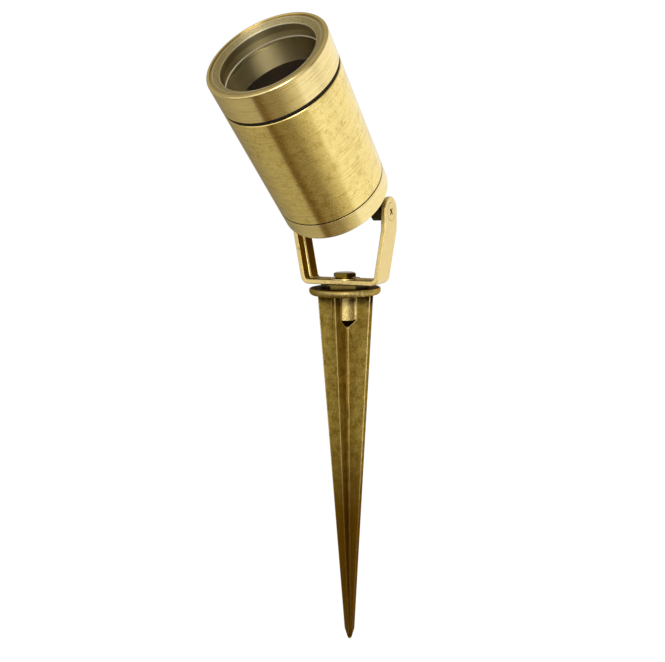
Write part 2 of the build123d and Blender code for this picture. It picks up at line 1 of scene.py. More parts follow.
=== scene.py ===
from math import cos, pi, radians, sin
import json

import bmesh
import bpy
from mathutils import Matrix, Vector


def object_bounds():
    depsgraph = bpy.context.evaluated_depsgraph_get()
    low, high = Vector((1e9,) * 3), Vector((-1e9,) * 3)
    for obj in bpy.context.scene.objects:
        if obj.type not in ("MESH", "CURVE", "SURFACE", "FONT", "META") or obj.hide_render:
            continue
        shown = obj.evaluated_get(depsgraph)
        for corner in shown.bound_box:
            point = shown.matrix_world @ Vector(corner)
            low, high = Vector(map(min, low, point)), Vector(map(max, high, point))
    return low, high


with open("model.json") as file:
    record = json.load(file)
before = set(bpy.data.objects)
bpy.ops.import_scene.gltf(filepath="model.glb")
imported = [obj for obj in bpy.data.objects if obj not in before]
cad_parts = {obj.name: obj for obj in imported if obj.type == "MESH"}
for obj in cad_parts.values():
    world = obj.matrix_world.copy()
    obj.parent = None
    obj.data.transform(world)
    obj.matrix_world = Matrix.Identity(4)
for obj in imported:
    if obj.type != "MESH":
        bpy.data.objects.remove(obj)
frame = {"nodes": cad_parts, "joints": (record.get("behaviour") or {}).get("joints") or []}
cad_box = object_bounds()

# The garden spotlight stands on its swivel axis and its head points to -Y and up. All lengths
# are in metres.
MM = 0.001
HEAD_TILT = radians(43.6)
AXIS_DROP = 1.2 * MM             # head axis below the tilt pivot
GROUND_BELOW_TIP = 0.4 * MM      # the floor just clears the tip of the spike

joints = {joint["name"]: joint for joint in frame["joints"]}
pivot = Vector(joints["head_tilt"]["pos_m"])
head_direction = Vector((0, -cos(HEAD_TILT), sin(HEAD_TILT)))
head_over = Vector((0, sin(HEAD_TILT), cos(HEAD_TILT)))   # square to the head, up and back
head_origin = pivot - AXIS_DROP * head_over

# sockets of the colour Mix node
MIX_FACTOR, MIX_A, MIX_B, MIX_RESULT = 0, 6, 7, 2


def linear(hex_colour):
    """An sRGB hex colour as the linear colour that Blender works in."""
    channels = [int(hex_colour[i:i + 2], 16) / 255 for i in (1, 3, 5)]
    return (*[c / 12.92 if c <= 0.04045 else ((c + 0.055) / 1.055) ** 2.4 for c in channels], 1)


def add(tree, kind, inputs=None, **settings):
    """Add a node. An input is given a value, or the output socket that feeds it."""
    node = tree.nodes.new(kind)
    for name, value in settings.items():
        setattr(node, name, value)
    for key, value in (inputs or {}).items():
        if isinstance(value, bpy.types.NodeSocket):
            tree.links.new(value, node.inputs[key])
        else:
            node.inputs[key].default_value = value
    return node


def per(millimetres):
    """Noise scale that gives features of that real size."""
    return 1 / (millimetres * MM)


# ---------------------------------------------------------------- camera
# Where the camera stood, worked out from the photograph's perspective.
CAMERA_PLACE = Vector((0.17906, -0.36032, 0.04938))
CAMERA_AZIMUTH = radians(27.49)
CAMERA_DOWN = radians(9.96)
CAMERA_ROLL = radians(-0.96)
FOCAL_PIXELS = 708.32
FRAME_WIDTH = 665                # pixels
SENSOR_WIDTH = 36                # millimetres


def place_camera():
    """The camera at the photograph's viewing angle."""
    forward = Vector((-sin(CAMERA_AZIMUTH) * cos(CAMERA_DOWN),
                      cos(CAMERA_AZIMUTH) * cos(CAMERA_DOWN), -sin(CAMERA_DOWN)))
    right = Vector((cos(CAMERA_AZIMUTH), sin(CAMERA_AZIMUTH), 0))
    up = right.cross(forward)
    rolled_right = cos(CAMERA_ROLL) * right + sin(CAMERA_ROLL) * up
    rolled_up = cos(CAMERA_ROLL) * up - sin(CAMERA_ROLL) * right
    turn = Matrix((rolled_right, rolled_up, -forward)).transposed()
    data = bpy.data.cameras.new("camera")
    data.sensor_width = SENSOR_WIDTH
    data.lens = FOCAL_PIXELS / FRAME_WIDTH * SENSOR_WIDTH
    camera = bpy.data.objects.new("camera", data)
    camera.matrix_world = Matrix.Translation(CAMERA_PLACE) @ turn.to_4x4()
    bpy.context.scene.collection.objects.link(camera)
    bpy.context.scene.camera = camera


# ---------------------------------------------------------------- studio
# What the brass mirrors round the head: angle about its axis in degrees, then the card's tone.
HEAD_CARDS = [
    (-180, "#98927E"), (-150, "#AEA892"), (-113, "#B0AA96"), (-109, "#635030"), (-99, "#6E5B36"),
    (-90, "#8A7E63"), (-68, "#90866B"), (-52, "#BAB29A"), (-36, "#D8D2BC"), (-31, "#DCD8C6"),
    (-25, "#FFFFFF"), (95, "#FFFFFF"), (128, "#D8D4C8"), (152, "#8A8373"), (180, "#9C9682"),
]
# What everything else mirrors: compass bearing in degrees from +X towards +Y, then the tone.
ROOM_CARDS = [
    (-180, "#A8A498"), (-150, "#A8A498"), (-132, "#F4F3EE"), (-100, "#FFFFFF"), (-45, "#FFFFFF"),
    (-15, "#D0CDC4"), (0, "#8A867A"), (36, "#8A867A"), (52, "#FFFFFF"), (82, "#FFFFFF"),
    (105, "#A8A498"), (180, "#A8A498"),
]
CEILING = "#A59F8E"              # grey, above the cards
GROUND = "#4E462F"               # dark earth tone, below the cards
# heights of a direction, from -1 straight down to 1 straight up
CARDS_TOP, CEILING_BOTTOM = 0.3, 0.65
GROUND_TOP, CARDS_BOTTOM = -0.6, -0.25
# cosines between a direction and the head's: the head cards up to the first, the room past both
HEAD_CARDS_END, ROOM_START = -0.45, 0.0
BLACK_FLAG = Vector((0.954, 0.3, 0))            # a narrow black flag stands on this side
FLAG_RIM, FLAG_CORE = 0.97, 0.99                # cosines from the flag's middle
FLAG_LEVEL = 0.06
CAMERA_SIDE = Vector((0.443, -0.893, 0.08))     # the brightest softbox stands beside the camera
SOFTBOX_RIM, SOFTBOX_CORE = 0.93, 0.98          # cosines from the softbox's middle
SOFTBOX_LEVEL = 3.4
SOFTBOX_IN_GLASS = 14.0                         # as the turned wall behind the glass catches it
ROOM_IN_GLASS = 0.8
DIFFUSE_LEVEL = 0.85                            # what lights matt surfaces


def cards(tree, angle, table):
    """The tones of a table of cards, looked up by an angle in radians."""
    place = add(tree, "ShaderNodeMapRange", {"Value": angle, "From Min": -pi, "From Max": pi})
    node = add(tree, "ShaderNodeValToRGB", {"Fac": place.outputs[0]})
    ramp = node.color_ramp
    while len(ramp.elements) < len(table):
        ramp.elements.new(0.5)
    for element, (degree, tone) in zip(ramp.elements, table):
        element.position = (degree + 180) / 360
        element.color = linear(tone)
    return node.outputs[0]


def studio_walls(tree, look):
    """The cards round the head for directions behind it, the room ahead of it."""
    parts = add(tree, "ShaderNodeSeparateXYZ", {0: look}).outputs
    over = add(tree, "ShaderNodeVectorMath", {0: look, 1: head_over}, operation="DOT_PRODUCT")
    around = add(tree, "ShaderNodeMath", {0: over.outputs["Value"], 1: parts["X"]},
                 operation="ARCTAN2")
    head_cards = cards(tree, around.outputs[0], HEAD_CARDS)
    bearing = add(tree, "ShaderNodeMath", {0: parts["Y"], 1: parts["X"]}, operation="ARCTAN2")
    room_cards = cards(tree, bearing.outputs[0], ROOM_CARDS)
    height = add(tree, "ShaderNodeMapRange", {"Value": parts["Z"], "From Min": CARDS_TOP,
                                              "From Max": CEILING_BOTTOM},
                 interpolation_type="SMOOTHSTEP")
    ceiled = add(tree, "ShaderNodeMix", {MIX_FACTOR: height.outputs[0], MIX_A: room_cards,
                                         MIX_B: linear(CEILING)}, data_type="RGBA")
    depth = add(tree, "ShaderNodeMapRange", {"Value": parts["Z"], "From Min": GROUND_TOP,
                                             "From Max": CARDS_BOTTOM, "To Min": 1.0,
                                             "To Max": 0.0},
                interpolation_type="SMOOTHSTEP")
    room = add(tree, "ShaderNodeMix", {MIX_FACTOR: depth.outputs[0],
                                       MIX_A: ceiled.outputs[MIX_RESULT],
                                       MIX_B: linear(GROUND)}, data_type="RGBA")
    along = add(tree, "ShaderNodeVectorMath", {0: look, 1: head_direction},
                operation="DOT_PRODUCT")
    ahead = add(tree, "ShaderNodeMapRange", {"Value": along.outputs["Value"],
                                             "From Min": HEAD_CARDS_END, "From Max": ROOM_START},
                interpolation_type="SMOOTHSTEP")
    walls = add(tree, "ShaderNodeMix", {MIX_FACTOR: ahead.outputs[0], MIX_A: head_cards,
                                        MIX_B: room.outputs[MIX_RESULT]}, data_type="RGBA")
    return walls.outputs[MIX_RESULT]


def mirrored_studio(tree, look, in_glass):
    """The walls, darkened where the black flag stands, and the softbox beside the camera."""
    flag = add(tree, "ShaderNodeVectorMath", {0: look, 1: BLACK_FLAG}, operation="DOT_PRODUCT")
    open_share = add(tree, "ShaderNodeMapRange", {"Value": flag.outputs["Value"],
                                                  "From Min": FLAG_RIM, "From Max": FLAG_CORE,
                                                  "To Min": 1.0, "To Max": FLAG_LEVEL},
                     interpolation_type="SMOOTHSTEP")
    room_share = add(tree, "ShaderNodeMapRange", {"Value": in_glass, "To Min": 1.0,
                                                  "To Max": ROOM_IN_GLASS})
    wall_share = add(tree, "ShaderNodeMath", {0: open_share.outputs[0], 1: room_share.outputs[0]},
                     operation="MULTIPLY")
    brightness = add(tree, "ShaderNodeMapRange", {"Value": in_glass, "To Min": SOFTBOX_LEVEL,
                                                  "To Max": SOFTBOX_IN_GLASS})
    beside = add(tree, "ShaderNodeVectorMath", {0: look, 1: CAMERA_SIDE}, operation="DOT_PRODUCT")
    softbox = add(tree, "ShaderNodeMapRange", {"Value": beside.outputs["Value"],
                                               "From Min": SOFTBOX_RIM, "From Max": SOFTBOX_CORE,
                                               "To Max": brightness.outputs[0]},
                  interpolation_type="SMOOTHSTEP")
    mirrored = add(tree, "ShaderNodeVectorMath", {0: studio_walls(tree, look),
                                                  1: wall_share.outputs[0], 2: softbox.outputs[0]},
                   operation="MULTIPLY_ADD")
    return mirrored.outputs[0]


def light_world():
    """White for the camera, an even level for matt surfaces, the studio for gloss and glass."""
    world = bpy.data.worlds.new("studio")
    bpy.context.scene.world = world
    world.use_nodes = True
    tree = world.node_tree
    tree.nodes.clear()
    look = add(tree, "ShaderNodeTexCoord").outputs["Generated"]
    path = add(tree, "ShaderNodeLightPath").outputs
    in_glass = path["Is Transmission Ray"]
    gloss = add(tree, "ShaderNodeMath", {0: path["Is Glossy Ray"], 1: in_glass},
                operation="MAXIMUM")
    level = add(tree, "ShaderNodeMapRange", {"Value": path["Is Camera Ray"],
                                             "To Min": DIFFUSE_LEVEL, "To Max": 1.0})
    shown = add(tree, "ShaderNodeMix", {MIX_FACTOR: gloss.outputs[0], MIX_A: level.outputs[0],
                                        MIX_B: mirrored_studio(tree, look, in_glass)},
                data_type="RGBA")
    sky = add(tree, "ShaderNodeBackground", {"Color": shown.outputs[MIX_RESULT]})
    add(tree, "ShaderNodeOutputWorld", {"Surface": sky.outputs[0]})
    world.cycles.sampling_method = "NONE"


FLOOR_HALF = 6.0                 # from the middle of the floor to its edge
FLOOR_TONE = "#F4F3F1"
FLOOR_GLOW = 0.8                 # share of the floor's white that shadows don't reach
GLOW_STRENGTH = 1.07
LAMP_PLACE = Vector((0.5, -0.2, 1.1))
LAMP_SIZE = 0.9
LAMP_WATTS = 6.0


def lay_floor():
    """A pale floor under the tip of the spike, which the camera sees nearly white."""
    low = cad_box[0].z - GROUND_BELOW_TIP
    sheet = bmesh.new()
    bmesh.ops.create_grid(sheet, x_segments=1, y_segments=1, size=FLOOR_HALF,
                          matrix=Matrix.Translation((0, 0, low)))
    mesh = bpy.data.meshes.new("floor")
    sheet.to_mesh(mesh)
    sheet.free()
    floor = bpy.data.objects.new("floor", mesh)
    bpy.context.scene.collection.objects.link(floor)
    floor.visible_glossy = False
    floor.visible_transmission = False
    material = bpy.data.materials.new("studio_paper")
    material.use_nodes = True
    tree = material.node_tree
    tree.nodes.clear()
    paper = add(tree, "ShaderNodeBsdfDiffuse", {"Color": linear(FLOOR_TONE)})
    glow = add(tree, "ShaderNodeEmission", {"Color": (1, 1, 1, 1), "Strength": GLOW_STRENGTH})
    path = add(tree, "ShaderNodeLightPath")
    share = add(tree, "ShaderNodeMath", {0: path.outputs["Is Camera Ray"], 1: FLOOR_GLOW},
                operation="MULTIPLY")
    both = add(tree, "ShaderNodeMixShader", {0: share.outputs[0], 1: paper.outputs[0],
                                             2: glow.outputs[0]})
    add(tree, "ShaderNodeOutputMaterial", {"Surface": both.outputs[0]})
    mesh.materials.append(material)


def hang_lamp():
    """One large soft lamp overhead, which shades matt pieces and the floor."""
    data = bpy.data.lights.new("soft_lamp", "AREA")
    data.size = LAMP_SIZE
    data.energy = LAMP_WATTS
    lamp = bpy.data.objects.new("soft_lamp", data)
    lamp.location = LAMP_PLACE
    lamp.rotation_mode = "QUATERNION"
    lamp.rotation_quaternion = (-LAMP_PLACE).to_track_quat("-Z", "Y")
    lamp.visible_glossy = False
    bpy.context.scene.collection.objects.link(lamp)


# ---------------------------------------------------------------- materials
# places along the head axis, counted from the pivot
LUGS_END, CAP_START = 12 * MM, 12.6 * MM
SEAM_PLACE, SEAM_HALF = 24.0 * MM, 0.4 * MM
BEZEL_FACE, FACE_DEPTH = 104.95 * MM, 2.1 * MM
# radii round the head axis, each line with half its width
BORE_RADIUS, SHELL_RADIUS = 26.4 * MM, 26.8 * MM
OPENING_PLACE, OPENING_HALF = 23.8 * MM, 0.25 * MM
RIDGE_PLACE, RIDGE_HALF = 26.6 * MM, 0.2 * MM
GROOVE_PLACE, GROOVE_HALF = 27.5 * MM, 0.75 * MM
# a streak of the brushing in millimetres: coarser than the real 0.05, so that it shows
STREAK_WIDTH, STREAK_LENGTH = 0.4, 18
# the dark tone is painted shade in the groove of the bezel face and on the lugs
GROOVE_SHADE, LUG_SHADE = 0.32, 0.74               # shares of the dark tone
BORE_ROUGHNESS, SHELL_ROUGHNESS = 0.5, 0.2

# places on the yoke, where one tone ends and the next begins
INNER_FACES, OTHER_FACES = -14 * MM, -6 * MM     # place along X, below zero if it faces the middle
YOKE_FLOOR, YOKE_LEGS = 10 * MM, 12 * MM
BEAD_BACK, BEHIND_BEAD = -1.5 * MM, -0.6 * MM
BEFORE_BEAD, BEAD_FRONT = -3 * MM, -2.1 * MM
PALE_HEIGHT, DARK_HEIGHT = 9 * MM, 32 * MM
FLOOR_PATINA = 0.7                               # share of the legs' patina on the yoke's floor

# places on the spike: the wings, the roots between them and the boss taper downwards
BLADE_POINT = -209 * MM          # where the blade begins to draw in to its point
POINT_HALF = 2.9 * MM            # half width of the wings there
WINGS_HALF_X, WINGS_HALF_Y = 16.9 * MM, 14.6 * MM        # at ground level
POINT_ROOT, TOP_ROOT = 1.9 * MM, 3.6 * MM                # radius at the valleys between the wings
BOSS_END, CONE_END = -14.2 * MM, -19.7 * MM              # lower ends of the boss and its cone
BOSS_RIM = 0.1 * MM                                      # the boss's tone goes on past its end
BOSS_RADIUS, CONE_RADIUS = 8.5 * MM, 2.75 * MM
EDGE_LINE, EDGE_LINE_HALF = 0.4 * MM, 0.3 * MM           # bright lines, in from the edge
VALLEY_LINE, VALLEY_LINE_HALF = 0.15 * MM, 0.2 * MM      # out from the root
SEAM_LINE_HALF, WITHIN_SEAM = 0.3 * MM, 0.35 * MM
UNLIT_SIDE, LIT_SIDE = -5 * MM, -3 * MM
SHADE_END, SHADE_START = -7 * MM, -3.2 * MM
FLANGE_UNDERSIDE, FLANGE_MIDDLE = 0.2 * MM, 1 * MM       # painted shade below the first, over the second
FLANGE_ROUND = 1.5 * MM
FLANGE_PALENESS, BOSS_PALENESS = 0.4, 0.5
DARK_DEPTH, PALE_DEPTH = -142 * MM, -72 * MM


def new_material(name):
    """A material with an empty tree, the tree, and the coordinates that its patterns read."""
    material = bpy.data.materials.new(name)
    material.use_nodes = True
    tree = material.node_tree
    tree.nodes.clear()
    return material, tree, add(tree, "ShaderNodeTexCoord").outputs


def surface(tree, inputs):
    """The shader that a material ends in."""
    shader = add(tree, "ShaderNodeBsdfPrincipled", inputs)
    add(tree, "ShaderNodeOutputMaterial", {"Surface": shader.outputs[0]})


def two_tones(tree, place, millimetres, detail, tones):
    """A soft pattern with features of that size, and the colour that it mixes of two tones."""
    pattern = add(tree, "ShaderNodeTexNoise", {"Vector": place, "Scale": per(millimetres),
                                               "Detail": detail})
    colour = add(tree, "ShaderNodeMix", {MIX_FACTOR: pattern.outputs["Fac"],
                                         MIX_A: linear(tones[0]), MIX_B: linear(tones[1])},
                 data_type="RGBA")
    return pattern.outputs["Fac"], colour.outputs[MIX_RESULT]


def from_z_axis(tree, spot):
    """How far the spot is from the Z axis."""
    flat = add(tree, "ShaderNodeCombineXYZ", {"X": spot["X"], "Y": spot["Y"]})
    length = add(tree, "ShaderNodeVectorMath", {0: flat.outputs[0]}, operation="LENGTH")
    return length.outputs["Value"]


def in_head_space(tree, place):
    """The spot with the head axis turned onto Z, counted from beside the pivot."""
    turned = add(tree, "ShaderNodeMapping", {
        "Vector": place,
        "Rotation": (HEAD_TILT - radians(90), 0, 0),
        "Location": (0, AXIS_DROP - pivot.z * cos(HEAD_TILT), -pivot.z * sin(HEAD_TILT))})
    return add(tree, "ShaderNodeSeparateXYZ", {0: turned.outputs[0]}).outputs


def round_the_head(tree, place):
    """The direction that runs round the head axis at the spot."""
    from_axis = add(tree, "ShaderNodeVectorMath", {0: place, 1: head_origin}, operation="SUBTRACT")
    round_axis = add(tree, "ShaderNodeVectorMath", {0: from_axis.outputs[0], 1: head_direction},
                     operation="CROSS_PRODUCT")
    in_world = add(tree, "ShaderNodeVectorTransform", {"Vector": round_axis.outputs[0]},
                   vector_type="VECTOR", convert_from="OBJECT", convert_to="WORLD")
    return in_world.outputs[0]


def brush_streaks(tree, spot, radius):
    """Streaks that run round the head, on the wall of the tube and on its end faces alike."""
    # on the wall the place along the axis changes, on an end face the distance from the axis
    lay = add(tree, "ShaderNodeMath", {0: spot["Z"], 1: radius}, operation="ADD")
    fine = add(tree, "ShaderNodeMath", {0: lay.outputs[0], 1: STREAK_LENGTH / STREAK_WIDTH},
               operation="MULTIPLY")
    place = add(tree, "ShaderNodeCombineXYZ", {"X": spot["X"], "Y": spot["Y"],
                                               "Z": fine.outputs[0]})
    streaks = add(tree, "ShaderNodeTexNoise", {"Vector": place.outputs[0],
                                               "Scale": per(STREAK_LENGTH), "Detail": 4.0,
                                               "Roughness": 0.6})
    return streaks.outputs["Fac"]


def shell_tone(tree, place, streaks, specks, clean, stained, worn):
    """Colour of the head's outside: clean metal under stained patches, streaks and dark specks."""
    mottle = add(tree, "ShaderNodeTexNoise", {"Vector": place, "Scale": per(4), "Detail": 8.0,
                                              "Roughness": 0.72})
    patches = add(tree, "ShaderNodeMapRange", {"Value": mottle.outputs["Fac"], "From Min": 0.49,
                                               "From Max": 0.7})
    stains = add(tree, "ShaderNodeMath", {0: patches.outputs[0], 1: worn}, operation="MULTIPLY")
    tone = add(tree, "ShaderNodeMix", {MIX_FACTOR: stains.outputs[0], MIX_A: linear(clean),
                                       MIX_B: linear(stained)}, data_type="RGBA")
    streaked = add(tree, "ShaderNodeMapRange", {"Value": streaks, "From Min": 0.48,
                                                "From Max": 0.68, "To Min": 0.0, "To Max": 0.42})
    lined = add(tree, "ShaderNodeMix", {MIX_FACTOR: streaked.outputs[0],
                                        MIX_A: tone.outputs[MIX_RESULT], MIX_B: linear("#C3A04C")},
                data_type="RGBA")
    spots = add(tree, "ShaderNodeMapRange", {"Value": specks, "From Min": 0.64, "From Max": 0.74})
    speckled = add(tree, "ShaderNodeMath", {0: spots.outputs[0], 1: worn}, operation="MULTIPLY")
    spotted = add(tree, "ShaderNodeMix", {MIX_FACTOR: speckled.outputs[0],
                                          MIX_A: lined.outputs[MIX_RESULT],
                                          MIX_B: linear("#96793A")}, data_type="RGBA")
    return spotted.outputs[MIX_RESULT]


def turned_tone(tree, specks, in_face, bore):
    """Colour of the metal within the shell: the plain bore, and the finely flecked bezel face."""
    flecks = add(tree, "ShaderNodeMapRange", {"Value": specks, "From Min": 0.3, "From Max": 0.7})
    face = add(tree, "ShaderNodeMix", {MIX_FACTOR: flecks.outputs[0], MIX_A: linear("#E4D5A4"),
                                       MIX_B: linear("#C2B17C")}, data_type="RGBA")
    tone = add(tree, "ShaderNodeMix", {MIX_FACTOR: in_face, MIX_A: linear(bore),
                                       MIX_B: face.outputs[MIX_RESULT]}, data_type="RGBA")
    return tone.outputs[MIX_RESULT]


def shade_in_head_gaps(tree, spot, radius, in_face):
    """Share of painted shade: in the seam behind the body, in the groove of the bezel face, on the
    lugs.
    """
    in_seam = add(tree, "ShaderNodeMath", {0: spot["Z"], 1: SEAM_PLACE, 2: SEAM_HALF},
                  operation="COMPARE")
    at_groove = add(tree, "ShaderNodeMath", {0: radius, 1: GROOVE_PLACE, 2: GROOVE_HALF},
                    operation="COMPARE")
    in_groove = add(tree, "ShaderNodeMath", {0: in_face, 1: at_groove.outputs[0]},
                    operation="MULTIPLY")
    grooved = add(tree, "ShaderNodeMath", {0: in_groove.outputs[0], 1: GROOVE_SHADE},
                  operation="MULTIPLY")
    # painted shade on the lugs behind the rear cap, which lie in the shadow of the yoke's ears
    on_lugs = add(tree, "ShaderNodeMapRange", {"Value": spot["Z"], "From Min": LUGS_END,
                                               "From Max": CAP_START, "To Min": LUG_SHADE,
                                               "To Max": 0.0})
    lugs_and_groove_shade = add(tree, "ShaderNodeMath", {0: on_lugs.outputs[0], 1: grooved.outputs[0]},
                     operation="MAXIMUM")
    painted_head_shade = add(tree, "ShaderNodeMath", {0: in_seam.outputs[0], 1: lugs_and_groove_shade.outputs[0]},
               operation="MAXIMUM")
    return painted_head_shade.outputs[0]


def painted_edge_highlights(tree, radius, in_face):
    """Share of painted highlight: bright lines on the ridge beside the groove and on the edge of
    the bezel's opening.
    """
    on_ridge = add(tree, "ShaderNodeMath", {0: radius, 1: RIDGE_PLACE, 2: RIDGE_HALF},
                   operation="COMPARE")
    on_opening = add(tree, "ShaderNodeMath", {0: radius, 1: OPENING_PLACE, 2: OPENING_HALF},
                     operation="COMPARE")
    on_edge = add(tree, "ShaderNodeMath", {0: on_ridge.outputs[0], 1: on_opening.outputs[0]},
                  operation="MAXIMUM")
    bright_share = add(tree, "ShaderNodeMath", {0: in_face, 1: on_edge.outputs[0]},
                 operation="MULTIPLY")
    return bright_share.outputs[0]


def brushed_brass(name, clean, stained, wear, bore):
    """Turned brass brushed round the head axis: streaks run round, reflections spread lengthwise.

    Handling leaves stained patches and dark specks on it, as strong as the wear given. Inside
    the head the brass is as turned, duller and without stains, in the tone given as bore.
    """
    material, tree, where = new_material(name)
    place = where["Object"]
    spot = in_head_space(tree, place)
    radius = from_z_axis(tree, spot)
    streaks = brush_streaks(tree, spot, radius)
    specks = add(tree, "ShaderNodeTexNoise", {"Vector": place, "Scale": per(0.7),
                                              "Detail": 2.0}).outputs["Fac"]
    inside = add(tree, "ShaderNodeMapRange", {"Value": radius, "From Min": BORE_RADIUS,
                                              "From Max": SHELL_RADIUS, "To Min": 1.0,
                                              "To Max": 0.0})
    worn = add(tree, "ShaderNodeMapRange", {"Value": inside.outputs[0], "To Min": wear,
                                            "To Max": 0.0})
    # the face of the bezel, from the cone round its opening outwards
    in_face = add(tree, "ShaderNodeMath", {0: spot["Z"], 1: BEZEL_FACE - FACE_DEPTH},
                  operation="GREATER_THAN").outputs[0]
    colour = add(tree, "ShaderNodeMix", {
        MIX_FACTOR: inside.outputs[0],
        MIX_A: shell_tone(tree, place, streaks, specks, clean, stained, worn.outputs[0]),
        MIX_B: turned_tone(tree, specks, in_face, bore)}, data_type="RGBA")
    # painted shade: the dark tone in the seam behind the body, in the groove of the bezel face and
    # on the lugs
    shade_painted = add(tree, "ShaderNodeMix", {MIX_FACTOR: shade_in_head_gaps(tree, spot, radius, in_face),
                                         MIX_A: colour.outputs[MIX_RESULT],
                                         MIX_B: linear("#140E08")}, data_type="RGBA")
    # painted highlights along the ridge and the edge of the opening
    bright = add(tree, "ShaderNodeMix", {MIX_FACTOR: painted_edge_highlights(tree, radius, in_face),
                                         MIX_A: shade_painted.outputs[MIX_RESULT],
                                         MIX_B: linear("#F6ECCE")}, data_type="RGBA")
    rough = add(tree, "ShaderNodeMapRange", {"Value": inside.outputs[0],
                                             "To Min": SHELL_ROUGHNESS,
                                             "To Max": BORE_ROUGHNESS})
    bump = add(tree, "ShaderNodeBump", {"Height": streaks, "Strength": 0.15,
                                        "Distance": 0.02 * MM})
    # turned a quarter from the tangent, reflections spread square to the brushing
    surface(tree, {"Base Color": bright.outputs[MIX_RESULT], "Metallic": 1.0,
                   "Roughness": rough.outputs[0], "Anisotropic": 0.8,
                   "Anisotropic Rotation": 0.25, "Tangent": round_the_head(tree, place),
                   "Normal": bump.outputs[0]})
    return material


def left_as_cast(tree, spot, facing, behind_bead):
    """Share of the yoke's brown skin: inside the legs, faint on the floor, none on the bead."""
    # positive where a side faces away from the middle of the yoke
    outward = add(tree, "ShaderNodeMath", {0: spot["X"], 1: facing["X"]}, operation="MULTIPLY")
    inner_leg = add(tree, "ShaderNodeMapRange", {"Value": outward.outputs[0],
                                                 "From Min": INNER_FACES, "From Max": OTHER_FACES,
                                                 "To Min": 1.0, "To Max": 0.0})
    low = add(tree, "ShaderNodeMapRange", {"Value": spot["Z"], "From Min": YOKE_FLOOR,
                                           "From Max": YOKE_LEGS, "To Min": 1.0, "To Max": 0.0})
    upward = add(tree, "ShaderNodeMapRange", {"Value": facing["Z"], "From Min": 0.6,
                                              "From Max": 0.95})
    on_floor = add(tree, "ShaderNodeMath", {0: low.outputs[0], 1: upward.outputs[0]},
                   operation="MULTIPLY")
    floor_share = add(tree, "ShaderNodeMath", {0: on_floor.outputs[0], 1: FLOOR_PATINA},
                      operation="MULTIPLY")
    inner = add(tree, "ShaderNodeMath", {0: inner_leg.outputs[0], 1: floor_share.outputs[0]},
                operation="MAXIMUM")
    # the bead is left pale: a painted highlight along it
    before_bead = add(tree, "ShaderNodeMapRange", {"Value": spot["Y"], "From Min": BEFORE_BEAD,
                                                   "From Max": BEAD_FRONT, "To Min": 1.0,
                                                   "To Max": 0.0})
    beside_bead = add(tree, "ShaderNodeMath", {0: behind_bead, 1: before_bead.outputs[0]},
                      operation="MAXIMUM")
    as_cast = add(tree, "ShaderNodeMath", {0: inner.outputs[0], 1: beside_bead.outputs[0]},
                  operation="MULTIPLY")
    return as_cast.outputs[0]


